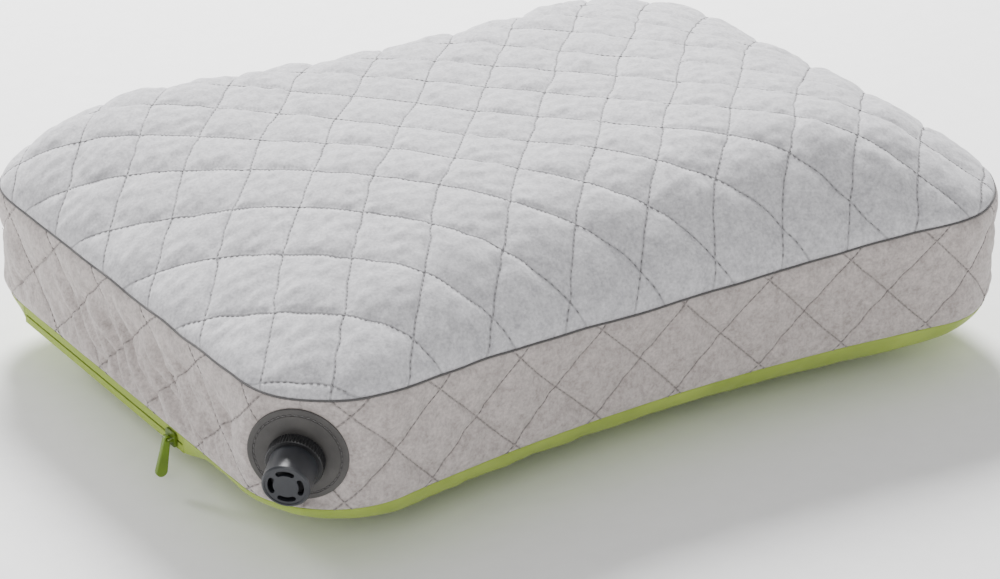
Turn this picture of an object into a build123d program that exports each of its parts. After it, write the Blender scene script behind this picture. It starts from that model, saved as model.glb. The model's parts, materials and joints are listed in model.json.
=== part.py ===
from build123d import *
import math
import os

# Inflatable camp pillow, lying on its flat underside. Millimetres, +Z up.
# The origin is the middle of the underside, X runs along the pillow and Y across it.

# Plan of the seams: straight short ends, rounded corners, long sides drawn in at the waist.
half_length = 189.0
half_width = 143.5
half_waist = 131.5
corner_radius = 44.0

# Heights of the two seams and of the crown, and how far each surface stands out from the plan.
seam_low = 28.0
seam_top = 77.0
crown_top = 114.0
crown_power = 5.0
low_seam_offset = -1.5
band_bulge = 2.0
underside_share = 0.45
underside_power = 1.15

# Layers of the cover, from the outside in, and the welded air bladder inside it.
velour = 0.8
wadding = 4.0
lining = 0.3
nylon = 0.35
film = 0.35
bladder_side_gap = 12.5
bladder_top_gap = 5.6
bladder_low_gap = 0.8
weld_width = 4.5
thread_radius = 0.4
thread_standoff = 0.56

# Valve at the corner at (-X, -Y): its patch faces out almost level, and its stem droops a little more.
valve_bearing = 46.0
valve_reach = 41.5
valve_shift = 4.4
valve_height = 52.0
patch_droop = 3.5
stem_droop = 9.0
pocket_radius = 21.5
pocket_flare = 12.0
pocket_depth = 14.0
patch_radius = 20.5
patch_thickness = 1.0
patch_groove = 0.3
stitch_circle = 17.8
stitch_length = 1.5
stitch_width = 0.5
stitch_count = 44
flange_radius = 14.0
flange_thickness = 1.0
flange_margin = 1.5
flange_gap = 4.9
neck_radius = 6.5
neck_bore = 4.0
neck_top = 15.0
neck_hole_radius = 7.7
cap_radius = 9.8
cap_low = 2.4
cap_top = 21.6
cap_fit = 0.06
cap_cavity_radius = 8.2
cap_cavity_low = 12.8
cap_face = 1.6
cap_chamfer = 0.6
cap_post_radius = 3.0
face_recess = 0.3
face_rim = 1.3
slot_circle = 6.2
slot_width = 2.2
slot_span = 50.0
slot_count = 4
grip_radius = 11.8
grip_top = 7.8
grip_seat_radius = 9.3
grip_groove = 0.45
grip_teeth = 56
grip_chamfer = 0.5
seal_radius = 7.0
seal_gap = 0.05
seal_thickness = 1.5
o_ring_level = 9.8
o_ring_section = 0.8
o_ring_gap = 0.04
o_ring_groove = 2.0

# Zip: a coil zip along the lower seam of the short end at -X, with its coils on the inside face.
zip_start = -50.0
zip_end = 94.0
zip_level = 24.0
zip_slit = 1.0
tape_thickness = 0.6
tape_foot = 17.0
coil_height = 1.3
coil_width = 1.6
tooth_pitch = 1.25
tooth_width = 0.8
zip_cut_depth = 32.0
coil_spine = 0.5
stop_length = 2.5
slider_y = -41.0
slider_length = 8.5
slider_width = 6.6
slider_plate = 0.9
slider_gap = 0.3
slider_divider = 0.6
slider_corner = 1.6
bail_span = 5.6
bail_rise = 2.4
bail_bar = 0.6
pull_length = 17.0
pull_width = 5.2
pull_neck_width = 3.0
pull_thickness = 2.2
pull_eye = 0.9
pull_edge = 0.5
pull_lean = 12.0

# Plan circles that follow from the sizes above.
corner_x = half_length - corner_radius
corner_y = half_width - corner_radius
waist_rise = half_waist - corner_y
side_radius = (corner_x**2 + waist_rise**2 - corner_radius**2) / (2 * (half_width - half_waist))
side_y = half_waist + side_radius
side_angle = math.pi + math.atan2(corner_y - side_y, corner_x)
seam_middle = (seam_low + seam_top) / 2
zip_face = -(half_length + low_seam_offset)
flange_seat = -(velour + wadding + lining + flange_gap + flange_thickness)
coil_seat = zip_face + tape_thickness
bar_x = zip_face - slider_gap - slider_plate - bail_rise + bail_bar


def outline(offset, height=0.0, scale_by=1.0):
    """The plan moved outwards by offset, shrunk by scale_by and lifted to height."""
    end_x = half_length + offset
    radius = corner_radius + offset
    waist = half_waist + offset
    half_arc = side_angle / 2
    middle = (corner_x + radius * math.cos(half_arc), corner_y + radius * math.sin(half_arc))
    tangent = (corner_x + radius * math.cos(side_angle), corner_y + radius * math.sin(side_angle))

    def at(x, y):
        return Vector(x * scale_by, y * scale_by, height)

    half = [
        Line(at(end_x, -corner_y), at(end_x, corner_y)),
        ThreePointArc(at(end_x, corner_y), at(*middle), at(*tangent)),
        ThreePointArc(at(*tangent), at(0, waist), at(-tangent[0], tangent[1])),
        ThreePointArc(at(-tangent[0], tangent[1]), at(-middle[0], middle[1]), at(-end_x, corner_y)),
    ]
    return Wire(half + [edge.rotate(Axis.Z, 180) for edge in half])


def crown(inset, top):
    """Domed part above the top seam, full over the middle and steep at its edge."""
    rise = top - seam_top
    scales = (1.0, 0.97, 0.92, 0.84, 0.72, 0.55, 0.3)
    return loft([Face(outline(-inset, seam_top + rise * (1 - s**crown_power), s)) for s in scales])


def band(inset, low=seam_low, high=seam_top):
    """Upright side between two heights, bulging between the seams."""

    def bulge(z):
        across = (z - seam_middle) / (seam_top - seam_middle)
        seam_offset = low_seam_offset * (1 - across) / 2
        return seam_offset + (band_bulge - low_seam_offset / 2) * (1 - across**2)

    levels = [low + (high - low) * step / 6 for step in range(7)]
    return loft([Face(outline(bulge(z) - inset, z)) for z in levels])


def bowl_share(drop):
    """Share of the plan that is left where the underside has come down by this share of its depth."""
    turn = math.asin(drop ** (1 / underside_power))
    return underside_share + (1 - underside_share) * math.cos(turn) ** underside_power


def bowl(inset, lift):
    """Shallow underside below the lower seam, steep at the seam and flat where it rests."""
    sections = []
    for step in range(7):
        drop = math.sin(math.radians(15 * step)) ** underside_power
        height = seam_low - (seam_low - lift) * drop
        sections.append(Face(outline(low_seam_offset - inset, height, bowl_share(drop))))
    return loft(sections)


# Valve frames: local Z points out of the pillow, local Y is up, and zero is the patch's seat.
bearing = math.radians(valve_bearing)
level_out = Vector(-math.cos(bearing), -math.sin(bearing), 0)
sideways = Vector(math.sin(bearing), -math.cos(bearing), 0)
valve_seat = Vector(-corner_x, -corner_y, valve_height) + level_out * valve_reach - sideways * valve_shift


def drooping_frame(droop):
    turn = math.radians(droop)
    return Plane(valve_seat, sideways, level_out * math.cos(turn) - Vector(0, 0, 1) * math.sin(turn))


patch_frame = drooping_frame(patch_droop)
valve_frame = drooping_frame(stem_droop)


def rod(radius, low, high):
    """Round bar on the local Z axis between two levels."""
    return Pos(0, 0, (low + high) / 2) * Cylinder(radius, high - low)


def tube(outer, inner, low, high):
    return rod(outer, low, high) - rod(inner, low, high)


def pocket(frame, radius, inset):
    """Flat-floored space that the valve presses out of a layer at the corner."""
    hollow = Cone(radius + inset, radius + inset + pocket_flare, pocket_depth)
    return frame * (Pos(0, 0, pocket_depth / 2 - inset) * hollow)


# ---- cover ----


def make_top_layer(outside, inside):
    return crown(outside, crown_top - outside) - crown(inside, crown_top - inside)


def make_band_layer(outside, inside):
    outer = band(outside) - pocket(patch_frame, pocket_radius, outside)
    inner = band(inside) - pocket(patch_frame, pocket_radius, inside)
    return outer - inner - patch_frame * rod(neck_hole_radius, -pocket_depth, pocket_depth)


def make_bottom_panel():
    shell = bowl(0, 0) - bowl(nylon, nylon)
    opening = Box(zip_cut_depth, zip_end - zip_start, seam_low - tape_foot)
    return shell - Pos(zip_face, (zip_start + zip_end) / 2, (seam_low + tape_foot) / 2) * opening


def make_seam_thread(offset, height):
    """Thread lying in the crease of a seam, just outside both layers."""
    path = outline(offset + thread_standoff, height)
    section = Plane(origin=path @ 0, z_dir=path % 0) * Circle(thread_radius)
    return sweep(section, path=path)


# ---- air bladder ----


def bladder_form(extra):
    """Space inside the cover that the bladder fills, less extra all round."""
    side = bladder_side_gap + extra
    top = crown(side, crown_top - bladder_top_gap - extra)
    low = bowl(side, bladder_low_gap + extra)
    form = top + band(side) + low
    return form - pocket(valve_frame, flange_radius + flange_seat + flange_margin, extra - flange_seat)


def make_bladder():
    """Upper and lower sheet, each with its half of the welded rim at the lower seam's height."""
    shell = bladder_form(0) - bladder_form(film)
    slab = Box(3 * half_length, 3 * half_width, crown_top)
    above = Pos(0, 0, seam_low + crown_top / 2) * slab
    below = Pos(0, 0, seam_low - crown_top / 2) * slab
    rim_out = outline(low_seam_offset - bladder_side_gap + weld_width, seam_low)
    rim_in = outline(low_seam_offset - bladder_side_gap - film / 2, seam_low)
    rim = Face(rim_out) - Face(rim_in)
    bore = valve_frame * rod(neck_bore, -pocket_depth, pocket_depth)
    upper = (shell & above) + extrude(rim, film) - bore
    lower = (shell & below) + extrude(rim, -film)
    return upper, lower


# ---- valve ----


def make_patch():
    disc = tube(patch_radius, neck_hole_radius, 0, patch_thickness)
    disc = fillet(disc.edges().group_by(Axis.Z)[-1].sort_by(SortBy.RADIUS)[-1], patch_thickness / 2)
    groove_low = patch_thickness - patch_groove
    groove = tube(stitch_circle + stitch_width, stitch_circle - stitch_width, groove_low, patch_thickness)
    return disc - groove


def make_patch_stitches():
    stitch = Box(stitch_width, stitch_length, patch_groove)
    stitch = Pos(stitch_circle, 0, patch_thickness - patch_groove / 2) * stitch
    return [Rot(0, 0, 360 * turn / stitch_count) * stitch for turn in range(stitch_count)]


def make_stem():
    """Flange welded to the bladder, with the neck that the cap screws over."""
    flange = rod(flange_radius, flange_seat, flange_seat + flange_thickness)
    neck = rod(neck_radius, flange_seat, neck_top)
    return flange + neck - rod(neck_bore, flange_seat, neck_top)


def make_cap():
    """Barrel with a slotted face, turned on the neck to open and close the valve."""
    barrel = rod(cap_radius, grip_top, cap_top) + rod(grip_seat_radius, cap_low, grip_top)
    barrel = chamfer(barrel.edges().group_by(Axis.Z)[-1], cap_chamfer)
    bore = rod(neck_radius + cap_fit, cap_low, cap_cavity_low)
    groove = rod(cap_cavity_radius, o_ring_level - o_ring_groove / 2, o_ring_level + o_ring_groove / 2)
    cavity = rod(cap_cavity_radius, cap_cavity_low, cap_top - cap_face)
    recess = rod(cap_radius - face_rim, cap_top - face_recess, cap_top)
    post = rod(cap_post_radius, neck_top + seal_gap + seal_thickness, cap_top - cap_face)
    cap = barrel - bore - groove - cavity - recess + post
    arc = CenterArc((0, 0), slot_circle, -slot_span / 2, slot_span)
    slot = Pos(0, 0, cap_top - cap_face) * extrude(SlotArc(arc, slot_width), cap_face)
    for turn in range(slot_count):
        cap -= Rot(0, 0, 360 * turn / slot_count) * slot
    return cap


def make_grip_ring():
    """Ring pressed round the foot of the cap, with a ridge for each tooth."""
    points = []
    for step in range(2 * grip_teeth):
        radius = grip_radius - grip_groove * (step % 2)
        angle = math.pi * step / grip_teeth
        points.append((radius * math.cos(angle), radius * math.sin(angle)))
    ridged = Pos(0, 0, cap_low) * extrude(make_face(Polyline(*points, close=True)), grip_top - cap_low)
    blank = chamfer(rod(grip_radius, cap_low, grip_top).edges(), grip_chamfer)
    return (ridged & blank) - rod(grip_seat_radius, cap_low, grip_top)


def make_seal_disc():
    low = neck_top + seal_gap
    return rod(seal_radius, low, low + seal_thickness)


def make_o_ring():
    middle = neck_radius + o_ring_gap + o_ring_section
    return Pos(0, 0, o_ring_level) * Torus(middle, o_ring_section)


# ---- zip ----


def along_zip(profile_points):
    """Solid with the given outline in X and Z, running from one zip end to the other."""
    points = [(x, zip_start, z) for x, z in profile_points]
    face = make_face(Polyline(*points, close=True))
    return extrude(face, zip_end - zip_start, dir=(0, 1, 0))


def make_upper_tape():
    low = zip_level + zip_slit / 2
    inner = zip_face + tape_thickness
    return along_zip([(zip_face, low), (zip_face, seam_low), (inner, seam_low), (inner, low)])


def make_lower_tape():
    """Strip that leans in below the slider, to meet the bottom panel at its foot."""
    high = zip_level - zip_slit / 2
    knee = zip_level - slider_width / 2 - slider_gap
    foot_x = zip_face * bowl_share((seam_low - tape_foot) / seam_low)
    outside = [(zip_face, high), (zip_face, knee), (foot_x, tape_foot)]
    inside = [(x + tape_thickness, z) for x, z in reversed(outside)]
    return along_zip(outside + inside)


def make_coil(side):
    """Half of the chain above (+1) or below (-1) the slit, with its teeth facing the slit."""
    near = zip_level + side * zip_slit / 2
    far = near + side * coil_width
    spine = far - side * coil_spine
    count = int((zip_end - zip_start - 2 * stop_length) / tooth_pitch)
    first = (zip_start + zip_end - (count - 1) * tooth_pitch) / 2
    points = [(first - tooth_width / 2, far)]
    for tooth in range(count):
        middle = first + tooth * tooth_pitch
        left = middle - tooth_width / 2
        right = middle + tooth_width / 2
        points += [(left, near), (right, near)]
        if tooth < count - 1:
            points += [(right, spine), (left + tooth_pitch, spine)]
    points.append((first + (count - 1) * tooth_pitch + tooth_width / 2, far))
    face = make_face(Polyline(*[(coil_seat, y, z) for y, z in points], close=True))
    return extrude(face, coil_height, dir=(1, 0, 0))


def make_zip_stops():
    """A clip round both halves of the chain at each end of the zip."""
    clip = Box(coil_height, stop_length - slider_gap, zip_slit + 2 * coil_width)
    x = coil_seat + coil_height / 2
    return [Pos(x, y, zip_level) * clip for y in (zip_start + stop_length / 2, zip_end - stop_length / 2)]


def make_slider():
    """Two plates round the tapes and coils, joined by a divider in the slit, with a bail outside."""
    outer_low = zip_face - slider_gap
    inner_low = coil_seat + coil_height + slider_gap
    plate = Box(slider_plate, slider_length, slider_width)
    plate = fillet(plate.edges().filter_by(Axis.X), slider_corner)
    slider = Pos(outer_low - slider_plate / 2, 0, 0) * plate
    slider += Pos(inner_low + slider_plate / 2, 0, 0) * plate
    divider = Box(inner_low - outer_low + slider_plate, slider_length / 2, slider_divider)
    slider += Pos((outer_low + inner_low) / 2, 0, 0) * divider
    leg = Box(bail_rise - bail_bar, 2 * bail_bar, 2 * bail_bar)
    leg_x = outer_low - slider_plate - (bail_rise - bail_bar) / 2
    leg_y = bail_span / 2 - bail_bar
    for side in (-1, 1):
        slider += Pos(leg_x, side * leg_y, 0) * leg
    slider += Pos(bar_x, 0, 0) * (Rot(90, 0, 0) * Cylinder(bail_bar, bail_span))
    return Pos(0, slider_y, zip_level) * slider


def make_pull():
    """Teardrop hanging from the bail's bar, leaning away from the slider's lower edge."""
    eye = Circle(pull_neck_width / 2)
    drop = Pos(0, -pull_length + pull_width / 2) * Circle(pull_width / 2)
    form = make_hull(eye.edges() + drop.edges())
    plate = extrude(Plane.XZ * form, pull_thickness / 2, both=True)
    plate = fillet(plate.edges(), pull_edge)
    hole = Rot(90, 0, 0) * Cylinder(pull_eye, pull_thickness)
    return Pos(bar_x, slider_y, zip_level) * (Rot(0, pull_lean, 0) * (plate - hole))


# ---- every piece, one file each ----

bladder_upper, bladder_lower = make_bladder()
lining_face = velour + wadding
pieces = {
    "top_panel": make_top_layer(0, velour),
    "top_wadding": make_top_layer(velour, lining_face),
    "top_lining": make_top_layer(lining_face, lining_face + lining),
    "side_band": make_band_layer(0, velour),
    "band_wadding": make_band_layer(velour, lining_face),
    "band_lining": make_band_layer(lining_face, lining_face + lining),
    "bottom_panel": make_bottom_panel(),
    "top_seam_thread": make_seam_thread(0, seam_top),
    "bottom_seam_thread": make_seam_thread(low_seam_offset, seam_low),
    "bladder_upper": bladder_upper,
    "bladder_lower": bladder_lower,
    "valve_patch": patch_frame * make_patch(),
    "patch_stitches": Compound(children=[patch_frame * stitch for stitch in make_patch_stitches()]),
    "valve_stem": valve_frame * make_stem(),
    "valve_cap": valve_frame * make_cap(),
    "valve_grip_ring": valve_frame * make_grip_ring(),
    "valve_seal_disc": valve_frame * make_seal_disc(),
    "valve_o_ring": valve_frame * make_o_ring(),
    "zip_tape_upper": make_upper_tape(),
    "zip_tape_lower": make_lower_tape(),
    "zip_coil_upper": make_coil(1),
    "zip_coil_lower": make_coil(-1),
    "zip_stops": Compound(children=make_zip_stops()),
    "zip_slider": make_slider(),
    "zip_pull": make_pull(),
}

os.makedirs("parts", exist_ok=True)
for name, piece in pieces.items():
    export_step(piece, f"parts/{name}.step")
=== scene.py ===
import json
import math

import bpy
import numpy as np
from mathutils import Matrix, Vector


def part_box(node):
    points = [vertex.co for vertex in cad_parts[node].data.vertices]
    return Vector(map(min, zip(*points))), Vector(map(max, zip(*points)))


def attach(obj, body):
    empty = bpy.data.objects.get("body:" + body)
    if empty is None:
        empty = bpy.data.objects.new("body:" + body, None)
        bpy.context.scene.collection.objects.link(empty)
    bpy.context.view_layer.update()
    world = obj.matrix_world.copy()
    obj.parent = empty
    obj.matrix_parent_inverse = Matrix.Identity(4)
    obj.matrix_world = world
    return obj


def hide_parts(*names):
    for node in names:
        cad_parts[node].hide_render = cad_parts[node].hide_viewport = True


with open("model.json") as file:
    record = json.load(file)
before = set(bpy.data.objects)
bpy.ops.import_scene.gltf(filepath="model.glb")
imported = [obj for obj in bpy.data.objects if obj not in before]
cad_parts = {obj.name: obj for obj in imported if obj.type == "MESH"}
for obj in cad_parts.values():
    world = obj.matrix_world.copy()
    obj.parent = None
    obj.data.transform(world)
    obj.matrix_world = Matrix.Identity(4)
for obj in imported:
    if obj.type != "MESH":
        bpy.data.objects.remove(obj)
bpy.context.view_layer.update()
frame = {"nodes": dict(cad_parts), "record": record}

# Sizes in millimetres. Those that a CAD node's box gives are read from it.
MM = 0.001
top_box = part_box("top_panel")
bottom_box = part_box("bottom_panel")
tape_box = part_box("zip_tape_upper")
HALF_LENGTH = top_box[1].x / MM
HALF_WIDTH = top_box[1].y / MM
SEAM_TOP = top_box[0].z / MM
CROWN_TOP = top_box[1].z / MM
SEAM_LOW = bottom_box[1].z / MM
HALF_WAIST = 131.5
CORNER_RADIUS = 44.0
LOW_SEAM_OFFSET = -1.5
BAND_BULGE = -0.5
UNDERSIDE_SHARE = 0.45
UNDERSIDE_POWER = 1.15
TAPE_KNEE = 20.4
TAPE_FOOT = 17.0
COVER_THICKNESS = 5.1
NYLON = 0.35
WAIST_DIP = 5.0
WAIST_REACH = 150
SEAM_WANDER = 0.2
SEAM_WAVE = 34

# Places along the seam outline are distances anticlockwise from +X. The outline is drawn in
# a little at the back left corner, and at the front right corner, which is counted back from +X.
BACK_LEFT_CORNER = 466.0
BACK_LEFT_DRAWN = 3.0
FRONT_RIGHT_BACK = 129.0
FRONT_RIGHT_DRAWN = 3.5
CORNER_SPREAD = 30.0
TUCK = 4.4
TUCK_SPREAD = 17
TUCK_POWER = 1.5

# The crown: its fullness over the plan is in shares of its height above the seam.
CROWN_POWER = 6.0
FRONT_RIGHT_SOFTNESS = 2.6
FRONT_RIGHT_REACH = (1.0, 1.9)
MIDDLE_FULLNESS = 1.06
END_FALL = 0.2
LEAN_ALONG = 0.05
LEAN_ACROSS = 0.07
TWIST = 0.3
BACK_LEFT_FULLNESS = 0.09
BACK_LEFT_REACH = (0.9, 1.7)
SWELL = 4.0
SWELL_AT = (-95, -25)
SWELL_RADIUS = 55
RIM_POWER = 4
TOP_END_BLEND = 40

# Quilting: two families of parallel lines on the top, and two on the band that go round it evenly.
TOP_PITCH = 36.3
TOP_SLOPE = 0.88
TOP_SHIFTS = (48.1, 268.2)
TOP_DRAWN = 8.0
TOP_DRAWN_LEFT = (-20, 150)
TOP_DRAWN_BACK = (-130, -40)
CORNER_STRETCH = 0.11
STRETCH_FROM = 155.0
STRETCH_EASE = 8.0
TOP_SPACING = [TOP_PITCH / math.hypot(1, TOP_SLOPE)] * 2
BAND_CELLS = 30
BAND_SLOPES = (1.0, -1.15)
BAND_STARTS = (605.9, 620.0)
LOFT_RANGE = (0.82, 1.12)
LOFT_CELLS = 64
CELL_POWER = 2.6
CREASE_WIDTH = 1.0
PINCH = 0.1
PINCH_REACH = 4.5
GATHER_PITCH = 6.8
GATHER_DRIFT = (2.5, 11)
GATHER_STEP = 1.7

# Relief of the top and the band: padding, stitch creases, and the roll beside the seams.
TOP_PUFF = 1.9
TOP_CREASE = 0.6
TOP_FADE = 5
TOP_ROLL = (1.5, 6)
BAND_PUFF = 1.7
BAND_CREASE = 0.5
BAND_FADE = 4
BAND_ROLL = (0.9, 4)
JOIN_AT = 761.0
JOIN_WIDTH = 1.0
LINING_DROP = 0.6

# Unevenness, as (height, wavelength) pairs.
TOP_LINE_WANDER = ((0.7, 70), (0.2, 13))
TOP_ROUGH = ((0.16, 9), (0.25, 28))
BAND_LINE_WANDER = ((0.5, 60), (0.08, 12))
BAND_ROUGH = ((0.14, 9), (0.25, 30))
BOTTOM_SWAY = ((0.9, 30), (0.4, 11))
BOTTOM_LOOSENESS = 1.5
BOTTOM_CALM = (4, 14)
ZIP_BLEND = 10
WAVE_COUNT = 16

# Gathers in the band, as (wavelength, size) pairs, and where along the outline they come and go.
PUCKER = 2.7
PUCKER_LEAN = 52.0
PUCKER_WAVES = ((11.0, 0.45), (17.0, 1.0), (26.0, 1.0))
PUCKER_SHARPNESS = 0.9
PUCKER_MEAN = 0.66
PUCKER_DRIFT = (3.0, 55)
PUCKER_START = (560, 625)
PUCKER_END = (742, 765)
RIGHT_PUCKER_START = (1170, 1200)
RIGHT_PUCKER_END = (50, 90)
RIGHT_PUCKER = 0.55
PUCKER_ELSEWHERE = 0.2
PUCKER_RISE = (0.0, 0.12)
PUCKER_FALL = (0.45, 0.95)

# Stitches.
STITCH_PITCH = 2.6
STITCH_LENGTH = 1.5
STITCH_RADIUS = 0.2
STITCH_SIDES = 6
STITCH_SAG = 0.35
SEAM_CLEARANCE = 0.6
TOP_STITCHED_SHARE = 0.985
TOP_LINES = range(-16, 32)
TOP_LINE_REACH = 400

# Valve patch: where it presses the band flat.
VALVE_BEARING = math.radians(46.0)
PATCH_DROOP = math.radians(3.5)
PATCH_RADIUS = 20.5
PATCH_BLEND = 13.0
PATCH_GAP = 0.12
PATCH_REACH = 30
PATCH_MARGIN = 0.5
PATCH_SEAM_EASE = (3.5, 3)

# Mesh fineness.
TOP_STEP = 1.25
BAND_COLUMNS = 1200
BAND_ROWS = 48
INNER_STRIDE = 6
KEPT_INSIDE = (slice(None, None, INNER_STRIDE), slice(None, None, INNER_STRIDE))
PLAN_STEPS = 1200
BOTTOM_STEP = 2.8
BOTTOM_RIM_ROWS = 10
BOTTOM_BOWL_ROWS = 24
BOTTOM_FLAT_ROWS = 20
THREAD_COLUMNS = 900
THREAD_SIDES = 8


# ---- plan of the seams ----


def plan_curve():
    """Arc lengths, points and outward angles along the seam outline, anticlockwise from +X."""
    corner_x = HALF_LENGTH - CORNER_RADIUS
    corner_y = HALF_WIDTH - CORNER_RADIUS
    rise = HALF_WAIST - corner_y
    side_radius = (corner_x**2 + rise**2 - CORNER_RADIUS**2) / (2 * (HALF_WIDTH - HALF_WAIST))
    side_y = HALF_WAIST + side_radius
    side_angle = math.pi + math.atan2(corner_y - side_y, corner_x)
    straight = np.linspace(0, corner_y, PLAN_STEPS, endpoint=False)
    turn = np.linspace(0, side_angle, PLAN_STEPS, endpoint=False)
    side = np.linspace(side_angle, math.pi / 2, PLAN_STEPS + 1)
    x = np.concatenate([
        np.full(PLAN_STEPS, HALF_LENGTH),
        corner_x + CORNER_RADIUS * np.cos(turn),
        -side_radius * np.cos(side)])
    y = np.concatenate([
        straight,
        corner_y + CORNER_RADIUS * np.sin(turn),
        side_y - side_radius * np.sin(side)])
    angle = np.concatenate([np.zeros(PLAN_STEPS), turn, side])
    x = np.concatenate([x, -x[-2::-1]])
    y = np.concatenate([y, y[-2::-1]])
    angle = np.concatenate([angle, math.pi - angle[-2::-1]])
    x = np.concatenate([x, -x[1:]])
    y = np.concatenate([y, -y[1:]])
    angle = np.concatenate([angle, angle[1:] + math.pi])
    length = np.concatenate([[0], np.cumsum(np.hypot(np.diff(x), np.diff(y)))])
    return length, x, y, angle


PLAN_LENGTH, PLAN_X, PLAN_Y, PLAN_ANGLE = plan_curve()
GIRTH = PLAN_LENGTH[-1]
DRAWN_CORNERS = ((BACK_LEFT_CORNER, BACK_LEFT_DRAWN), (GIRTH - FRONT_RIGHT_BACK, FRONT_RIGHT_DRAWN))
for middle, depth in DRAWN_CORNERS:
    drawn_in = depth * np.exp(-(((PLAN_LENGTH - middle) / CORNER_SPREAD) ** 2))
    PLAN_X = PLAN_X - drawn_in * np.cos(PLAN_ANGLE)
    PLAN_Y = PLAN_Y - drawn_in * np.sin(PLAN_ANGLE)
POLAR_ANGLE = np.unwrap(np.arctan2(PLAN_Y, PLAN_X))
POLAR_RADIUS = np.hypot(PLAN_X, PLAN_Y)


def plan_at(length, offset=0.0):
    """Points at these lengths along the seam outline, moved outwards by offset."""
    length = np.mod(length, GIRTH)
    angle = np.interp(length, PLAN_LENGTH, PLAN_ANGLE)
    x = np.interp(length, PLAN_LENGTH, PLAN_X) + offset * np.cos(angle)
    y = np.interp(length, PLAN_LENGTH, PLAN_Y) + offset * np.sin(angle)
    return x, y, angle


def rim_radius(x, y):
    """Distance from the middle to the outline, in the direction of each point."""
    angle = np.mod(np.arctan2(y, x), 2 * math.pi)
    return np.interp(angle, POLAR_ANGLE, POLAR_RADIUS)


def seam_height(x, y):
    """Height of the top seam, which dips at the middle of the long sides."""
    radius = rim_radius(x, y)
    rim_x = radius * x / np.maximum(np.hypot(x, y), 1e-6)
    rim_y = radius * y / np.maximum(np.hypot(x, y), 1e-6)
    dip = WAIST_DIP * np.clip(1 - (rim_x / WAIST_REACH) ** 2, 0, 1) ** 2
    return SEAM_TOP - dip + SEAM_WANDER * ripples(rim_x, rim_y, SEAM_WAVE, 61)


BAND_SPACING = [GIRTH / BAND_CELLS / math.hypot(1, slope) for slope in BAND_SLOPES]


# ---- helpers for soft shapes ----


def ripples(x, y, wavelength, seed):
    """Smooth repeatable unevenness, about 1 high, made of waves in many directions."""
    rng = np.random.default_rng(seed)
    total = np.zeros(np.broadcast(x, y).shape)
    for _ in range(WAVE_COUNT):
        heading = rng.uniform(0, 2 * math.pi)
        wave = 2 * math.pi / (wavelength * rng.uniform(0.7, 1.5))
        phase = rng.uniform(0, 2 * math.pi)
        total += np.sin(wave * (x * math.cos(heading) + y * math.sin(heading)) + phase)
    return total / math.sqrt(WAVE_COUNT / 2)


def uneven(x, y, waves, seed):
    """Ripples of several (height, wavelength) pairs added up, each with the next seed."""
    seeds = range(seed, seed + len(waves))
    return sum(height * ripples(x, y, wavelength, wave) for wave, (height, wavelength) in zip(seeds, waves))


def smooth(value, low, high):
    """0 below low, 1 above high, with an even turn between."""
    t = np.clip((value - low) / (high - low), 0, 1)
    return t * t * (3 - 2 * t)


def seam_roll(edge, height, place):
    """Small roll of fabric beside a seam, highest at this distance from it."""
    return height * (edge / place) * np.exp(1 - edge / place)


def line_distance(cells, spacing):
    """Distance in millimetres to the nearest line of a family, given the place counted in cells."""
    part = np.mod(cells, 1)
    return spacing * np.minimum(part, 1 - part)


def quilted(first, second, spacing, seed):
    """Padding between two families of stitch lines, and how near each point is to a line.

    Padding is 0 on the lines and about 1 mid-cell, and nearness the other way round.
    """
    rng = np.random.default_rng(seed)
    loft = rng.uniform(*LOFT_RANGE, (LOFT_CELLS, LOFT_CELLS))
    row = np.floor(first).astype(int) % LOFT_CELLS
    column = np.floor(second).astype(int) % LOFT_CELLS
    height = loft[row, column]
    near = np.zeros(height.shape)
    families = ((first, second, spacing[0]), (second, first, spacing[1]))
    for cells, others, width in families:
        distance = line_distance(cells, width)
        along = others * width
        drift = GATHER_DRIFT[0] * np.sin(along / GATHER_DRIFT[1])
        gather = np.sin(2 * math.pi * along / GATHER_PITCH + drift + GATHER_STEP * row)
        height = height - PINCH * (1 + gather) * np.exp(-((distance / PINCH_REACH) ** 2))
        height = height * (1 - (1 - np.clip(2 * distance / width, 0, 1)) ** CELL_POWER)
        near = np.maximum(near, np.exp(-((distance / CREASE_WIDTH) ** 2)))
    return height, near


# ---- the top surface ----


def top_cells(x, y):
    """Place on the top counted in quilt cells of each family, with the lines a little uneven."""
    shift_x = uneven(x, y, TOP_LINE_WANDER, 11)
    shift_y = uneven(x, y, TOP_LINE_WANDER, 13)
    drawn = TOP_DRAWN * smooth(-x, *TOP_DRAWN_LEFT) * smooth(y, *TOP_DRAWN_BACK)
    along = x + shift_x + drawn
    across = TOP_SLOPE * (y + shift_y)
    first = (along - across + TOP_SHIFTS[0]) / TOP_PITCH
    toward = along - 2 * drawn + across
    stretch = CORNER_STRETCH * STRETCH_EASE * np.logaddexp(0, -(toward + STRETCH_FROM) / STRETCH_EASE)
    second = (toward + stretch + TOP_SHIFTS[1]) / TOP_PITCH
    return first, second


def dome(x, y):
    """Height of the top with no quilting."""
    share = np.hypot(x, y) / rim_radius(x, y)
    along = x / HALF_LENGTH
    across = y / HALF_WAIST
    fullness = MIDDLE_FULLNESS - END_FALL * along**2 + LEAN_ALONG * along - LEAN_ACROSS * across
    fullness = fullness - TWIST * along * across
    fullness = fullness + BACK_LEFT_FULLNESS * smooth(across - along, *BACK_LEFT_REACH)
    power = CROWN_POWER - FRONT_RIGHT_SOFTNESS * smooth(along - across, *FRONT_RIGHT_REACH)
    off_swell = (x - SWELL_AT[0]) ** 2 + (y - SWELL_AT[1]) ** 2
    swell = SWELL * np.exp(-off_swell / SWELL_RADIUS**2) * (1 - share**RIM_POWER)
    dip = (SEAM_TOP - seam_height(x, y)) * share**RIM_POWER
    return SEAM_TOP - dip + swell + (CROWN_TOP - SEAM_TOP - TOP_PUFF) * (1 - share**power) * fullness


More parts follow.
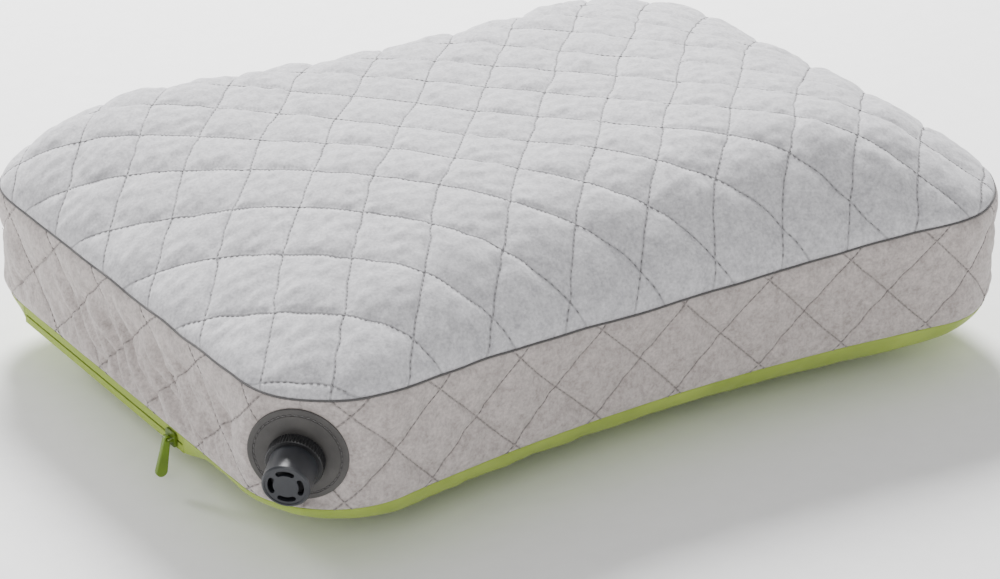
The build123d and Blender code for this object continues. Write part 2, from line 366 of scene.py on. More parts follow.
def dome_normal(x, y):
    """Upward unit normals of the top with no quilting."""
    reach = 0.6
    slope_x = (dome(x + reach, y) - dome(x - reach, y)) / (2 * reach)
    slope_y = (dome(x, y + reach) - dome(x, y - reach)) / (2 * reach)
    size = np.sqrt(1 + slope_x**2 + slope_y**2)
    return np.stack([-slope_x / size, -slope_y / size, 1 / size], -1)


def top_surface(x, y):
    """Points on the quilted top."""
    first, second = top_cells(x, y)
    padding, near = quilted(first, second, TOP_SPACING, 5)
    rim = rim_radius(x, y)
    edge = np.maximum((1 - np.hypot(x, y) / rim) * rim, 0)
    fade = 1 - np.exp(-edge / TOP_FADE)
    rough = uneven(x, y, TOP_ROUGH, 21)
    relief = TOP_PUFF * padding + rough * (1 - near) - TOP_CREASE * near
    height = fade * relief + seam_roll(edge, *TOP_ROLL)
    points = np.stack([x, y, dome(x, y)], -1)
    return points + dome_normal(x, y) * height[..., None]


# ---- the band's surface ----


def band_cells(length, drop):
    """Place on the band counted in quilt cells of each family."""
    pitch = GIRTH / BAND_CELLS
    place = length + uneven(length, drop, BAND_LINE_WANDER, 31)
    return [(place - start - slope * drop) / pitch for start, slope in zip(BAND_STARTS, BAND_SLOPES)]


def puckers(length, share):
    """Gathers in the band, strongest at the zip's end and near the lower seam."""
    lean = length - PUCKER_LEAN * (1 - share)
    rng = np.random.default_rng(41)
    total = np.zeros(length.shape)
    for wavelength, size in PUCKER_WAVES:
        drift = PUCKER_DRIFT[0] * ripples(length, share * 30, PUCKER_DRIFT[1], int(wavelength * 10))
        wave = np.sin(math.pi * (lean + drift) / wavelength + rng.uniform(0, math.pi))
        total += size * (np.abs(wave) ** PUCKER_SHARPNESS - PUCKER_MEAN)
    zip_end = smooth(length, *PUCKER_START) * (1 - smooth(length, *PUCKER_END)) + PUCKER_ELSEWHERE
    right_end = RIGHT_PUCKER * smooth(length, *RIGHT_PUCKER_START)
    right_end = right_end + RIGHT_PUCKER * (1 - smooth(length, *RIGHT_PUCKER_END))
    up = smooth(share, *PUCKER_RISE) * (1 - smooth(share, *PUCKER_FALL))
    return PUCKER * total * (zip_end + right_end) * up


VALVE_OUT = np.array([-math.cos(VALVE_BEARING), -math.sin(VALVE_BEARING), 0])
VALVE_SIDE = np.array([math.sin(VALVE_BEARING), -math.cos(VALVE_BEARING), 0])
PATCH_OUT = VALVE_OUT * math.cos(PATCH_DROOP) - np.array([0, 0, math.sin(PATCH_DROOP)])
PATCH_UP = np.cross(PATCH_OUT, VALVE_SIDE)


def tuck(length, share):
    """How far the cover is drawn in under the corner past the zip's far end."""
    return TUCK * np.exp(-(((length - BACK_LEFT_CORNER) / TUCK_SPREAD) ** 2)) * (1 - share) ** TUCK_POWER


def patch_seat():
    """Middle of the patch's back face, from the CAD patch."""
    patch = frame["nodes"]["valve_patch"]
    points = np.array([v.co for v in patch.data.vertices]) / MM
    depth = points @ PATCH_OUT
    middle = (points.min(0) + points.max(0)) / 2
    return middle + PATCH_OUT * (depth.min() - middle @ PATCH_OUT)


PATCH_SEAT = patch_seat()


def flatten_at_patch(points):
    """Pulls the band to the patch's plane under the patch, and eases back outside it."""
    local = points - PATCH_SEAT
    depth = local @ PATCH_OUT
    radius = np.hypot(local @ VALVE_SIDE, local @ PATCH_UP)
    hold = 1 - smooth(radius, PATCH_RADIUS - PATCH_MARGIN, PATCH_RADIUS + PATCH_BLEND)
    hold = np.where(np.abs(depth) < PATCH_REACH, hold, 0)
    under_top, over_low = PATCH_SEAM_EASE
    hold = hold * smooth(SEAM_TOP - points[..., 2], 0, under_top)
    hold = hold * smooth(points[..., 2] - SEAM_LOW, 0, over_low)
    return points + ((-PATCH_GAP - depth) * hold)[..., None] * PATCH_OUT


def band_surface(length, share):
    """Points on the quilted band: share is 0 at the lower seam and 1 at the top seam."""
    rim_x, rim_y, angle = plan_at(length)
    high = seam_height(rim_x, rim_y)
    z = SEAM_LOW + share * (high - SEAM_LOW)
    across = 2 * share - 1
    belly = BAND_BULGE - LOW_SEAM_OFFSET / 2
    offset = LOW_SEAM_OFFSET * (1 - share) + belly * (1 - across**2) - tuck(length, share)
    slope = (-LOW_SEAM_OFFSET - 4 * belly * across) / (high - SEAM_LOW)
    outward = np.stack([np.cos(angle), np.sin(angle), -slope], -1)
    outward /= np.linalg.norm(outward, axis=-1)[..., None]
    drop = SEAM_TOP - z
    first, second = band_cells(length, drop)
    padding, near = quilted(first, second, BAND_SPACING, 6)
    join = np.exp(-(((length - JOIN_AT) / JOIN_WIDTH) ** 2))
    edge = np.minimum(share, 1 - share) * (high - SEAM_LOW)
    fade = 1 - np.exp(-edge / BAND_FADE)
    rough = uneven(length, z, BAND_ROUGH, 33)
    relief = BAND_PUFF * padding + rough * (1 - near) - BAND_CREASE * near + puckers(length, share) - join
    height = fade * relief + seam_roll(edge, *BAND_ROLL)
    points = np.stack([rim_x + offset * np.cos(angle), rim_y + offset * np.sin(angle), z], -1)
    return flatten_at_patch(points + outward * height[..., None])


# ---- meshes ----


def new_piece(name, points, faces, material):
    """A smooth mesh object in metres from points in millimetres, riding on the cover."""
    mesh = bpy.data.meshes.new(name)
    mesh.from_pydata((np.asarray(points) * MM).tolist(), [], faces)
    mesh.validate()
    mesh.update()
    mesh.shade_smooth()
    mesh.materials.append(material)
    piece = bpy.data.objects.new(name, mesh)
    bpy.context.scene.collection.objects.link(piece)
    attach(piece, "cover")
    return piece


def grid_faces(rows, columns, start, flip, wrap):
    """Quads of a grid of points numbered row by row from start."""
    index = start + np.arange(rows * columns).reshape(rows, columns)
    if wrap:
        index = np.concatenate([index, index[:, :1]], 1)
    corners = [index[:-1, :-1], index[:-1, 1:], index[1:, 1:], index[1:, :-1]]
    if flip:
        corners.reverse()
    return np.stack(corners, -1).reshape(-1, 4).tolist()


def rim_faces(fine, coarse, flip):
    """Polygons that join a fine edge to a coarse one with every INNER_STRIDE-th of its points."""
    faces = []
    for step in range(len(coarse) - 1):
        start = step * INNER_STRIDE
        face = fine[start:start + INNER_STRIDE + 1] + [coarse[step + 1], coarse[step]]
        faces.append(face[::-1] if flip else face)
    return faces


def laminate(name, outer, inner, cells, wrap, material):
    """Closed padded layer: a fine outer grid, a coarse inner grid, and the rims between them.

    The point attribute named quilt holds each outer point's place, counted in quilt cells.
    """
    rows, columns = outer.shape[:2]
    inner_rows, inner_columns = inner.shape[:2]
    start = rows * columns
    faces = grid_faces(rows, columns, 0, False, wrap)
    faces += grid_faces(inner_rows, inner_columns, start, True, wrap)
    fine = np.arange(start).reshape(rows, columns)
    coarse = start + np.arange(inner_rows * inner_columns).reshape(inner_rows, inner_columns)
    if wrap:
        fine = np.concatenate([fine, fine[:, :1]], 1)
        coarse = np.concatenate([coarse, coarse[:, :1]], 1)
    faces += rim_faces(fine[0].tolist(), coarse[0].tolist(), True)
    faces += rim_faces(fine[-1].tolist(), coarse[-1].tolist(), False)
    if not wrap:
        faces += rim_faces(fine[:, 0].tolist(), coarse[:, 0].tolist(), False)
        faces += rim_faces(fine[:, -1].tolist(), coarse[:, -1].tolist(), True)
    points = np.concatenate([outer.reshape(-1, 3), inner.reshape(-1, 3)])
    piece = new_piece(name, points, faces, material)
    place = np.full((len(points), 3), 0.5)
    for axis, family in enumerate(cells):
        place[:start, axis] = family.ravel()
    attribute = piece.data.attributes.new("quilt", "FLOAT_VECTOR", "POINT")
    attribute.data.foreach_set("vector", place.ravel().astype(np.float32))
    return piece


def even_count(length, step):
    """Number of points about step apart along length, so that every INNER_STRIDE-th one is kept."""
    return INNER_STRIDE * math.ceil(length / step / INNER_STRIDE) + 1


def make_top(material):
    """Quilted top panel on a grid between the front and back edges of the outline."""
    corner_y = HALF_WIDTH - CORNER_RADIUS
    side = np.linspace(corner_y, GIRTH / 2 - corner_y, even_count(GIRTH / 2 - 2 * corner_y, TOP_STEP))
    back_x, back_y, _ = plan_at(side)
    front_x, front_y, _ = plan_at(-side)
    across = np.linspace(0, 1, even_count(2 * HALF_WIDTH, TOP_STEP))[:, None]
    grid_x = front_x + (back_x - front_x) * across
    grid_y = front_y + (back_y - front_y) * across
    for end in (0, -1):
        end_x = grid_x[:, end][:, None]
        end_y = grid_y[:, end][:, None]
        reach = rim_radius(end_x, end_y) / np.hypot(end_x, end_y)
        stretch = 1 + (reach - 1) * np.clip(1 - np.abs(grid_x - end_x) / TOP_END_BLEND, 0, 1)
        grid_x = grid_x * stretch
        grid_y = grid_y * stretch
    outer = top_surface(grid_x, grid_y)[:, ::-1]
    kept_x = grid_x[KEPT_INSIDE]
    kept_y = grid_y[KEPT_INSIDE]
    shrink = 1 - COVER_THICKNESS / HALF_WAIST
    inner_x = kept_x * shrink
    inner_y = kept_y * shrink
    inner = np.stack([inner_x, inner_y, dome(inner_x / shrink, inner_y / shrink) - COVER_THICKNESS], -1)
    on_rim = np.hypot(kept_x, kept_y) / rim_radius(kept_x, kept_y) > 0.999
    inner[..., 2] = np.where(on_rim, seam_height(kept_x, kept_y), inner[..., 2])
    cells = [family[:, ::-1] for family in top_cells(grid_x, grid_y)]
    return laminate("quilted_top", outer, inner[:, ::-1], cells, False, material)


def make_band(material):
    """Quilted side band, all round the outline."""
    length = np.linspace(0, GIRTH, BAND_COLUMNS, endpoint=False)
    share = np.linspace(0, 1, BAND_ROWS + 1)
    grid_length, grid_share = np.meshgrid(length, share)
    outer = band_surface(grid_length, grid_share)
    kept_length = grid_length[KEPT_INSIDE]
    kept_share = grid_share[KEPT_INSIDE]
    rim_x, rim_y, angle = plan_at(kept_length, -COVER_THICKNESS)
    across = 2 * kept_share - 1
    belly = BAND_BULGE * (1 - across**2) + LOW_SEAM_OFFSET * (1 - kept_share)
    belly -= tuck(kept_length, kept_share)
    high = seam_height(rim_x, rim_y) - LINING_DROP
    z = SEAM_LOW + kept_share * (high - SEAM_LOW)
    inner = np.stack([rim_x + belly * np.cos(angle), rim_y + belly * np.sin(angle), z], -1)
    inner = flatten_at_patch(inner + COVER_THICKNESS * PATCH_OUT) - COVER_THICKNESS * PATCH_OUT
    rim_x, rim_y, _ = plan_at(grid_length)
    drop = (SEAM_TOP - SEAM_LOW) - grid_share * (seam_height(rim_x, rim_y) - SEAM_LOW)
    cells = [*band_cells(grid_length, drop), (grid_length - JOIN_AT) / GIRTH]
    return laminate("quilted_band", outer, inner, cells, True, material)


def bowl_share(drop):
    """Share of the plan left where the underside has come down by this share of its depth."""
    turn = math.asin(drop ** (1 / UNDERSIDE_POWER))
    return UNDERSIDE_SHARE + (1 - UNDERSIDE_SHARE) * math.cos(turn) ** UNDERSIDE_POWER


def bottom_ring(length, drop, inset, zip_ends):
    """One ring of the underside, eased out to the zip tape's slope beside the zip."""
    share = bowl_share(drop)
    loose = BOTTOM_LOOSENESS * drop * (1 - drop)
    sway = loose * uneven(length, np.full(length.shape, drop * 30), BOTTOM_SWAY, 51)
    z = SEAM_LOW - (SEAM_LOW - inset) * drop
    away = np.maximum(zip_ends[0] - length, length - zip_ends[1])
    beside_zip = np.exp(-(np.maximum(away, 0) / ZIP_BLEND) ** 2)
    sway = sway * (1 - beside_zip * smooth(z, *BOTTOM_CALM))
    x, y, _ = plan_at(length, LOW_SEAM_OFFSET - inset + sway - tuck(length, 0))
    x, y = x * share, y * share
    lean = np.clip((z - TAPE_FOOT) / (TAPE_KNEE - TAPE_FOOT), 0, 1)
    foot_share = bowl_share((SEAM_LOW - TAPE_FOOT) / SEAM_LOW)
    tape_x = -(HALF_LENGTH + LOW_SEAM_OFFSET - inset) * (foot_share + (1 - foot_share) * lean)
    hold = beside_zip if z > TAPE_FOOT else 0
    return np.stack([x + (tape_x - x) * hold, y, np.full(x.shape, z)], -1)


def make_bottom(material):
    """Nylon underside with the zip's opening left out, closed with a thin inside face."""
    zip_ends = [GIRTH / 2 - tape_box[1].y / MM, GIRTH / 2 - tape_box[0].y / MM]
    stops = [0, zip_ends[0], zip_ends[1], GIRTH]
    length = np.concatenate([
        np.linspace(a, b, math.ceil((b - a) / BOTTOM_STEP), endpoint=False)
        for a, b in zip(stops, stops[1:])])
    foot_turn = math.asin(((SEAM_LOW - TAPE_FOOT) / SEAM_LOW) ** (1 / UNDERSIDE_POWER))
    turns = np.concatenate([
        np.linspace(0, foot_turn, BOTTOM_RIM_ROWS, endpoint=False),
        np.linspace(foot_turn, math.pi / 2, BOTTOM_BOWL_ROWS)])
    layers = []
    for inset in (0, NYLON):
        rings = [bottom_ring(length, math.sin(turn) ** UNDERSIDE_POWER, inset, zip_ends) for turn in turns]
        flat = rings[-1]
        for share in np.linspace(0.95, 0.03, BOTTOM_FLAT_ROWS):
            rings.append(flat * np.array([share, share, 1]))
        grid = np.array(rings)
        layers.append(np.concatenate([grid.reshape(-1, 3), [[0, 0, inset]]]))
    rows, columns = grid.shape[:2]
    first = int(np.argmin(np.abs(length - zip_ends[0])))
    last = int(np.argmin(np.abs(length - zip_ends[1])))
    index = np.arange(rows * columns).reshape(rows, columns)
    faces = []
    for row in range(rows - 1):
        for column in range(columns):
            if row < BOTTOM_RIM_ROWS and first <= column < last:
                continue
            beside = (column + 1) % columns
            corners = index[row, column], index[row + 1, column], index[row + 1, beside], index[row, beside]
            faces.append([int(corner) for corner in corners])
    middle = rows * columns
    for column in range(columns):
        faces.append([int(index[-1, column]), middle, int(index[-1, (column + 1) % columns])])
    count = middle + 1
    edges = {edge for face in faces for edge in zip(face, face[1:] + face[:1])}
    rims = [[b, a, a + count, b + count] for a, b in edges if (b, a) not in edges]
    inside = [[corner + count for corner in face[::-1]] for face in faces]
    faces = faces + inside + sorted(rims)
    return new_piece("bottom_cover", np.concatenate(layers), faces, material)


# ---- stitches and threads ----


def capsule_mesh(centres, along, up, length, radius):
    """One mesh of many short rounded stitches."""
    across = np.cross(along, up)
    levels = ((-0.5, 0.45, -STITCH_SAG), (-0.3, 1.0, 0.0), (0.3, 1.0, 0.0), (0.5, 0.45, -STITCH_SAG))
    points = []
    for place, size, sag in levels:
        for side in range(STITCH_SIDES):
            turn = 2 * math.pi * side / STITCH_SIDES
            spot = centres + along * (place * length) + across * (math.cos(turn) * size * radius)
            points.append(spot + up * (math.sin(turn) * size * radius + sag * radius))
    points = np.stack(points, 1)
    per = STITCH_SIDES * len(levels)
    base = []
    for start in range(0, per - STITCH_SIDES, STITCH_SIDES):
        for side in range(STITCH_SIDES):
            beside = (side + 1) % STITCH_SIDES
            low = [start + side, start + beside]
            base.append(low + [start + STITCH_SIDES + beside, start + STITCH_SIDES + side])
    base.append([STITCH_SIDES - 1 - side for side in range(STITCH_SIDES)])
    base.append([per - STITCH_SIDES + side for side in range(STITCH_SIDES)])
    faces = [[corner + stitch * per for corner in face] for stitch in range(len(centres)) for face in base]
    return points.reshape(-1, 3), faces


def unit(vectors):
    """Vectors scaled to length 1."""
    return vectors / np.maximum(np.linalg.norm(vectors, axis=-1), 1e-9)[..., None]


def sew(name, surface, middles, headings, settle, material):
    """Stitches along lines of a surface, placed and headed in the surface's own two coordinates."""
    half = STITCH_LENGTH / 2
    start = surface(*settle(middles - headings * half))
    finish = surface(*settle(middles + headings * half))
    beside = np.stack([-headings[:, 1], headings[:, 0]], -1)
    side = surface(*(settle(middles) + 0.5 * beside.T)) - surface(*settle(middles))
    centres = (start + finish) / 2
    along = unit(finish - start)
    up = unit(np.cross(along, side))
    up *= np.sign((up * centres).sum(1))[:, None]
    points, faces = capsule_mesh(centres + up * STITCH_RADIUS, along, up, STITCH_LENGTH, STITCH_RADIUS)
    return new_piece(name, points, faces, material)


def make_seam_thread(name, share, radius, material):
    """Sewing thread lying in the crease between two panels."""
    length = np.linspace(0, GIRTH, THREAD_COLUMNS, endpoint=False)
    path = band_surface(length, np.full(length.shape, share))
    along = unit(np.roll(path, -1, 0) - np.roll(path, 1, 0))
    upward = np.tile([0.0, 0.0, 1.0], (len(path), 1))
    outward = unit(np.cross(along, upward))
    rings = []
    for side in range(THREAD_SIDES):
        turn = 2 * math.pi * side / THREAD_SIDES
        rings.append(path + radius * (math.cos(turn) * outward + math.sin(turn) * upward))
    points = np.stack(rings, 0)
    index = np.arange(THREAD_SIDES * len(path)).reshape(THREAD_SIDES, -1)
    index = np.concatenate([index, index[:1]])
    index = np.concatenate([index, index[:, :1]], 1)
    corners = [index[:-1, :-1], index[1:, :-1], index[1:, 1:], index[:-1, 1:]]
    faces = np.stack(corners, -1).reshape(-1, 4).tolist()
    return new_piece(name, points.reshape(-1, 3), faces, material)


def make_top_stitches(material):
    """Stitches along the quilt lines of the top, as far as its seam."""
    middles, headings, owners = [], [], []
    place = np.arange(-TOP_LINE_REACH, TOP_LINE_REACH, STITCH_PITCH)
    for family, shift in enumerate(TOP_SHIFTS):
        heading = np.array([TOP_SLOPE, 1 - 2 * family]) / math.hypot(1, TOP_SLOPE)
        for number in TOP_LINES:
            spots = np.array([number * TOP_PITCH - shift, 0]) + place[:, None] * heading
            middles.append(spots)
            headings.append(np.tile(heading, (len(spots), 1)))
            owners.append(np.tile([family, number], (len(spots), 1)))
    middles = np.concatenate(middles)
    headings = np.concatenate(headings)
    owners = np.concatenate(owners)

    def settle(spots):
        """Moves each spot along X onto its uneven line."""
        family, number = owners.T
        x, y = spots.T
        for _ in range(3):
            cells = np.where(family == 0, *top_cells(x, y))
            x = x - (cells - number) * TOP_PITCH
        return np.stack([x, y])

    x, y = settle(middles)
    inside = np.hypot(x, y) < TOP_STITCHED_SHARE * rim_radius(x, y)
    middles, headings, owners = middles[inside], headings[inside], owners[inside]
    return sew("top_quilt_stitches", top_surface, middles, headings, settle, material)


def band_spot(length, drop):
    """Point on the band at a distance along the seam and a distance below the top seam's level."""
    rim_x, rim_y, _ = plan_at(length)
    share = (SEAM_TOP - drop - SEAM_LOW) / (seam_height(rim_x, rim_y) - SEAM_LOW)
    return band_surface(length, np.clip(share, 0, 1))


def make_band_stitches(material):
    """Stitches along the quilt lines of the band, clear of its seams and the valve patch."""
    pitch = GIRTH / BAND_CELLS
    middles, headings, owners = [], [], []
    for family, (start, slope) in enumerate(zip(BAND_STARTS, BAND_SLOPES)):
        heading = np.array([slope, 1]) / math.hypot(1, slope)
        place = np.arange(1.0, (SEAM_TOP - SEAM_LOW) / heading[1], STITCH_PITCH)
        for number in range(BAND_CELLS):
            spots = np.array([start + number * pitch, 0]) + place[:, None] * heading
            rim_x, rim_y, _ = plan_at(spots[:, 0])
            spots = spots[spots[:, 1] > SEAM_TOP - seam_height(rim_x, rim_y) + SEAM_CLEARANCE]
            seat = band_spot(spots[:, 0], spots[:, 1]) - PATCH_SEAT
            spots = spots[np.linalg.norm(seat, axis=1) > PATCH_RADIUS + PATCH_MARGIN]
            middles.append(spots)
            headings.append(np.tile(heading, (len(spots), 1)))
            owners.append(np.tile([family, number], (len(spots), 1)))
    family, number = np.concatenate(owners).T

    def settle(spots):
        """Moves each spot along the band onto its uneven line."""
        length, drop = spots.T
        for _ in range(3):
            cells = np.where(family == 0, *band_cells(length, drop))
            length = length - (cells - number) * pitch
        return np.stack([length, drop])

    return sew("band_quilt_stitches", band_spot, np.concatenate(middles), np.concatenate(headings),
               settle, material)


# ---- materials ----


def linear(red, green, blue):
    """Scene colour from a display colour out of 255."""
    values = []
    for value in (red, green, blue):
        share = value / 255
        values.append(share / 12.92 if share <= 0.04045 else ((share + 0.055) / 1.055) ** 2.4)
    return (*values, 1.0)


class Nodes:
    """Builds one procedural material node by node."""

    def __init__(self, name, roughness, metallic=0.0):
        self.material = bpy.data.materials.new(name)
        self.material.use_nodes = True
        self.tree = self.material.node_tree
        self.shader = self.tree.nodes["Principled BSDF"]
        self.shader.inputs["Roughness"].default_value = roughness
        self.shader.inputs["Metallic"].default_value = metallic
        self.place = self.tree.nodes.new("ShaderNodeTexCoord").outputs["Object"]

    def add(self, kind, links=(), **values):
        node = self.tree.nodes.new(kind)
        for key, value in values.items():
            setattr(node, key, value)
        for socket, source in links:
            if isinstance(source, bpy.types.NodeSocket):
                self.tree.links.new(source, node.inputs[socket])
            else:
                node.inputs[socket].default_value = source
        return node

    def noise(self, size, detail, roughness):
        """Noise whose spots are about size millimetres across."""
        node = self.add("ShaderNodeTexNoise", [
            ("Vector", self.place),
            ("Scale", 0.5 / (size * MM)),
            ("Detail", detail),
            ("Roughness", roughness)])
        return node.outputs["Fac"]

    def waves(self, scale, distortion, direction):
        """Evenly spaced bands, a little bent."""
        links = [("Vector", self.place), ("Scale", scale), ("Distortion", distortion)]
        return self.add("ShaderNodeTexWave", links, bands_direction=direction).outputs["Fac"]

    def ramp(self, factor, *stops):
        """Colour from a factor, given (position, colour) stops."""
        node = self.add("ShaderNodeValToRGB", [("Fac", factor)])
        elements = node.color_ramp.elements
        while len(elements) < len(stops):
            elements.new(0.5)
        for element, (position, colour) in zip(elements, stops):
            element.position = position
            element.color = colour
        return node.outputs["Color"]

    def math(self, operation, first, second):
        return self.add("ShaderNodeMath", [(0, first), (1, second)], operation=operation).outputs[0]

    def blend(self, factor, first, second, mode="MIX"):
        """Two colours mixed by a factor."""
        node = self.add("ShaderNodeMix", data_type="RGBA", blend_type=mode)
        for socket, source in ((0, factor), (6, first), (7, second)):
            if isinstance(source, bpy.types.NodeSocket):
                self.tree.links.new(source, node.inputs[socket])
            else:
                node.inputs[socket].default_value = source
        return node.outputs[2]

    def colour(self, source):
        self.tree.links.new(source, self.shader.inputs["Base Color"])

    def rough(self, factor, low, high):
        node = self.add("ShaderNodeMapRange", [("Value", factor), ("To Min", low), ("To Max", high)])
        self.tree.links.new(node.outputs[0], self.shader.inputs["Roughness"])

    def bump(self, height, depth, strength, under=None):
        """Bump depth millimetres deep, on top of the one under it."""
        links = [("Height", height), ("Distance", depth * MM), ("Strength", strength)]
        if under is not None:
            links.append(("Normal", under))
        node = self.add("ShaderNodeBump", links)
        self.tree.links.new(node.outputs[0], self.shader.inputs["Normal"])
        return node.outputs[0]


def sheen(nodes, weight, roughness, tint):
    """Soft bloom of fibres at grazing angles."""
    nodes.shader.inputs["Sheen Weight"].default_value = weight
    nodes.shader.inputs["Sheen Roughness"].default_value = roughness
    nodes.shader.inputs["Sheen Tint"].default_value = tint


def quilt_crease(nodes, spacing):
    """0 in the stitched creases and 1 away from them, from the place counted in quilt cells. It is the mask
    for both the painted crease shade and the crease bump.
    """
    place = nodes.add("ShaderNodeAttribute", attribute_name="quilt").outputs["Vector"]
    axes = nodes.add("ShaderNodeSeparateXYZ", [("Vector", place)])
    crease = 1.0
    for axis, width in zip("XYZ", spacing):
        shifted = nodes.math("ADD", axes.outputs[axis], 0.5)
        part = nodes.math("SUBTRACT", nodes.math("FRACT", shifted, 0), 0.5)
        distance = nodes.math("MULTIPLY", nodes.math("ABSOLUTE", part, 0), width)
        shade = nodes.add(
            "ShaderNodeMapRange",
            [("Value", distance), ("From Min", 0.05), ("From Max", 0.65)],
            interpolation_type="SMOOTHSTEP")
        crease = nodes.math("MULTIPLY", crease, shade.outputs[0])
    return crease


def velour(name, light, dark, spacing=None, shade=0.72):
    """Short brushed nap: fine specks, soft brushed patches and a dull bloom at grazing angles. Given
    spacing, the stitched creases are darkened down to the factor shade: painted shade, together with their
    flattened nap.
    """
    nodes = Nodes(name, 0.95)
    nap = nodes.noise(0.7, 3, 0.7)
    brushed = nodes.noise(2.4, 2, 0.6)
    patches = nodes.noise(40, 1, 0.5)
    base = nodes.ramp(nap, (0.3, dark), (0.7, light))
    soft = nodes.ramp(brushed, (0.3, dark), (0.62, light))
    base = nodes.blend(0.35, base, soft)
    broad = nodes.ramp(patches, (0.3, (0.97, 0.97, 0.97, 1)), (0.7, (1, 1, 1, 1)))
    base = nodes.blend(1.0, base, broad, "MULTIPLY")
    sheen(nodes, 0.25, 0.5, (1, 1, 1, 1))
    nodes.shader.inputs["Specular IOR Level"].default_value = 0.15
    under = nodes.bump(nap, 0.18, 0.6)
    under = nodes.bump(brushed, 0.25, 0.4, under)
    if spacing:
        crease = quilt_crease(nodes, spacing)
        # Painted shade: the colour in the stitched creases is multiplied down to shade, partly also for the
        # flattened nap there.
        tint = nodes.ramp(crease, (0, (shade, shade, shade, 1)), (1, (1, 1, 1, 1)))
        base = nodes.blend(1.0, base, tint, "MULTIPLY")
        nodes.bump(crease, 0.4, 0.7, under)
    nodes.colour(base)
    return nodes.material


def nylon(name, light, dark):
    """Plain-woven nylon taffeta with a soft shine and faint creases, with painted shade darkening the
    crease hollows.
    """
    nodes = Nodes(name, 0.5)
    threads = nodes.waves(900.0, 0.6, "X")
    cross = nodes.waves(900.0, 0.6, "Y")
    weave = nodes.math("MAXIMUM", threads, cross)
    creases = nodes.noise(14, 3, 0.5)
    # Painted shade: the colour follows the crease noise that also drives the bump, darker in the hollows
    # and lighter on the ridges.
    nodes.colour(nodes.ramp(creases, (0.3, dark), (0.7, light)))
    nodes.rough(creases, 0.42, 0.58)
    sheen(nodes, 0.2, 0.4, light)
    under = nodes.bump(weave, 0.06, 0.5)
    nodes.bump(creases, 0.8, 0.5, under)
    return nodes.material


def moulded(name, light, dark, roughness, grain, depth, metallic=0.0):
    """Moulded plastic, rubber or enamel with a fine surface grain and faint handling marks."""
    nodes = Nodes(name, roughness, metallic)
    fine = nodes.noise(grain, 3, 0.6)
    marks = nodes.noise(6, 4, 0.6)
    nodes.colour(nodes.ramp(marks, (0.3, dark), (0.7, light)))
    nodes.rough(marks, roughness - 0.06, roughness + 0.08)
    nodes.bump(fine, depth, 0.6)
    return nodes.material


def spun(name, light, dark, size):
    """Thread or woven tape with a visible twist."""
    nodes = Nodes(name, 0.8)
    twist = nodes.waves(0.5 / (size * MM), 2.0, "DIAGONAL")
    nodes.colour(nodes.ramp(twist, (0.2, dark), (0.8, light)))
    sheen(nodes, 0.15, 0.5, light)
    nodes.bump(twist, size * 0.3, 0.6)
    return nodes.material


MATERIALS = {
    # velour's last argument sets the painted shade in the stitched creases: 0.72 by default on the top, 0.8
    # on the band.
    "velour_top": velour("velour_top", linear(214, 213, 216), linear(158, 157, 161), TOP_SPACING),
    "velour_band": velour(
        "velour_band", linear(196, 187, 184), linear(142, 134, 131), [*BAND_SPACING, GIRTH], 0.8),
    "nylon_green": nylon("nylon_green", linear(158, 178, 72), linear(130, 150, 52)),
    "wadding": velour("wadding", linear(240, 240, 236), linear(215, 215, 210)),
    "lining": nylon("lining", linear(225, 225, 222), linear(205, 205, 200)),
    "bladder_film": moulded("bladder_film", linear(188, 194, 200), linear(168, 174, 182), 0.35, 1.5, 0.05),
    # The seam thread has dark colours so that it also paints the shade in the crease of the top seam.
    "seam_thread": spun("seam_thread", linear(104, 102, 102), linear(60, 58, 58), 0.4),
    "patch_rubber": moulded("patch_rubber", linear(80, 78, 76), linear(64, 62, 61), 0.62, 0.35, 0.05),
    "valve_plastic": moulded("valve_plastic", linear(44, 46, 51), linear(32, 34, 39), 0.36, 0.25, 0.02),
    "grip_plastic": moulded("grip_plastic", linear(32, 32, 34), linear(20, 20, 22), 0.42, 0.2, 0.03),
    "seal_rubber": moulded("seal_rubber", linear(40, 40, 42), linear(28, 28, 30), 0.55, 0.3, 0.03),
    "zip_tape": spun("zip_tape", linear(158, 178, 72), linear(130, 150, 52), 0.35),
    "zip_coil": moulded("zip_coil", linear(134, 154, 58), linear(112, 130, 44), 0.4, 0.2, 0.02),
    "slider_enamel": moulded("slider_enamel", linear(96, 118, 34), linear(70, 90, 24), 0.3, 0.3, 0.02, 0.2),
    "pull_plastic": moulded("pull_plastic", linear(112, 140, 36), linear(92, 118, 26), 0.42, 0.3, 0.03),
    "band_thread": spun("band_thread", linear(152, 146, 144), linear(112, 106, 104), 0.3),
    "quilt_thread": spun("quilt_thread", linear(138, 136, 138), linear(96, 94, 96), 0.3),
    "floor": moulded("floor", linear(250, 250, 250), linear(246, 246, 246), 0.9, 4.0, 0.02),
}


def dress_cad_nodes():
    """Each CAD node takes the finish of its material slot in the record."""
    for entry in frame["record"]["subparts"]:
        node = frame["nodes"][entry["node"]]
        node.data.materials.clear()
        node.data.materials.append(MATERIALS[entry["material_slot"]])


# ---- floor, lights and camera ----

FLOOR_HALF = 2500.0
FLOOR_LINES = 9
FLOOR_GAP = 0.05


def make_floor():
    """Plain floor just under the pillow, which isn't part of it."""
    steps = np.linspace(-FLOOR_HALF, FLOOR_HALF, FLOOR_LINES)
    x, y = np.meshgrid(steps, steps)
    points = np.stack([x, y, np.full(x.shape, -FLOOR_GAP)], -1)
    faces = grid_faces(FLOOR_LINES, FLOOR_LINES, 0, False, False)
    mesh = bpy.data.meshes.new("floor")
    mesh.from_pydata((points.reshape(-1, 3) * MM).tolist(), [], faces)
    mesh.materials.append(MATERIALS["floor"])
    floor = bpy.data.objects.new("floor", mesh)
    bpy.context.scene.collection.objects.link(floor)


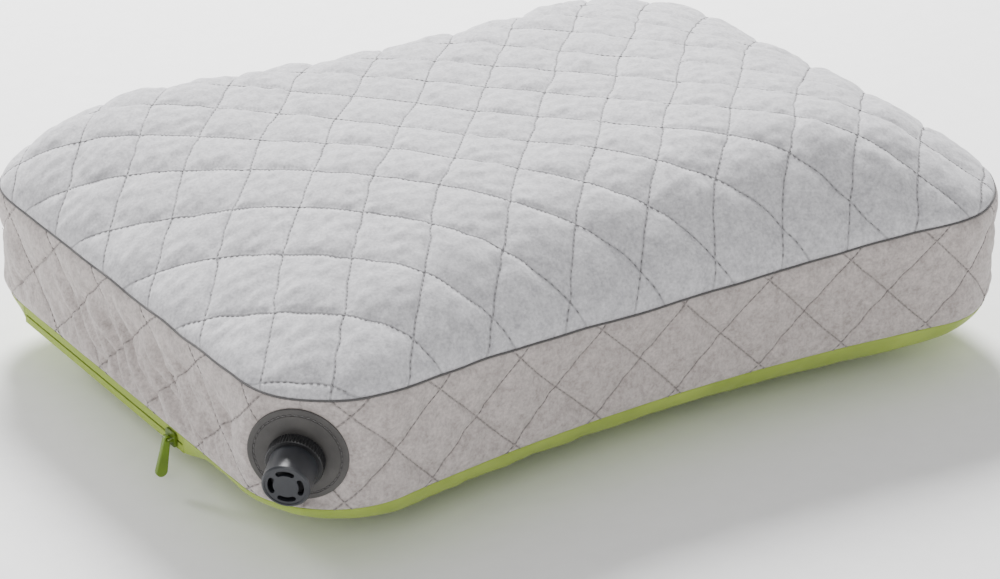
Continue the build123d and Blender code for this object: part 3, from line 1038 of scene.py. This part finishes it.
def area_light(name, place, target, size, power):
    """White disk light, in metres and watts, turned to its target."""
    data = bpy.data.lights.new(name, "AREA")
    data.shape = "DISK"
    data.size = size
    data.energy = power
    light = bpy.data.objects.new(name, data)
    light.location = place
    light.rotation_euler = (Vector(target) - Vector(place)).to_track_quat("-Z", "Y").to_euler()
    bpy.context.scene.collection.objects.link(light)


def make_lights():
    """Soft even light all round, with a key light from behind on the right."""
    world = bpy.data.worlds.new("studio")
    world.use_nodes = True
    background = world.node_tree.nodes["Background"]
    background.inputs["Color"].default_value = (1, 1, 1, 1)
    background.inputs["Strength"].default_value = 0.68
    bpy.context.scene.world = world
    area_light("key", (0.6, 1.2, 1.3), (0, 0, 0.08), 0.7, 95)
    area_light("side", (-0.7, 1.25, 0.75), (-0.15, 0, 0.05), 0.35, 9)
    area_light("front", (-1.2, -1.2, 1.0), (0, 0, 0.05), 0.8, 8)


def make_camera():
    """Camera above the front left, which looks over the valve corner."""
    azimuth = math.radians(-33.24)
    elevation = math.radians(26.02)
    distance = 1.5322
    target = Vector((-0.0277, -0.0422, 0.049))
    back = Vector((
        math.sin(azimuth) * math.cos(elevation),
        -math.cos(azimuth) * math.cos(elevation),
        math.sin(elevation)))
    data = bpy.data.cameras.new("camera")
    data.sensor_width = 36
    data.lens = 128.5
    data.clip_end = 50
    camera = bpy.data.objects.new("camera", data)
    camera.location = target + back * distance
    camera.rotation_euler = back.to_track_quat("Z", "Y").to_euler()
    bpy.context.scene.collection.objects.link(camera)
    bpy.context.scene.camera = camera


# ---- the pillow ----

dress_cad_nodes()
make_floor()
make_lights()
make_camera()

top = make_top(MATERIALS["velour_top"])
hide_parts("top_panel", "top_wadding", "top_lining")

band = make_band(MATERIALS["velour_band"])
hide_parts("side_band", "band_wadding", "band_lining")

# The top seam's thread is drawn thick and dark: a real thread that also stands for the painted shade in the
# seam crease.
thread = make_seam_thread("top_seam", 1.0, 0.5, MATERIALS["seam_thread"])
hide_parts("top_seam_thread")
thread = make_seam_thread("low_seam", 0.0, 0.3, MATERIALS["zip_tape"])
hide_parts("bottom_seam_thread")
make_top_stitches(MATERIALS["quilt_thread"])
make_band_stitches(MATERIALS["band_thread"])

bottom = make_bottom(MATERIALS["nylon_green"])
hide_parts("bottom_panel")
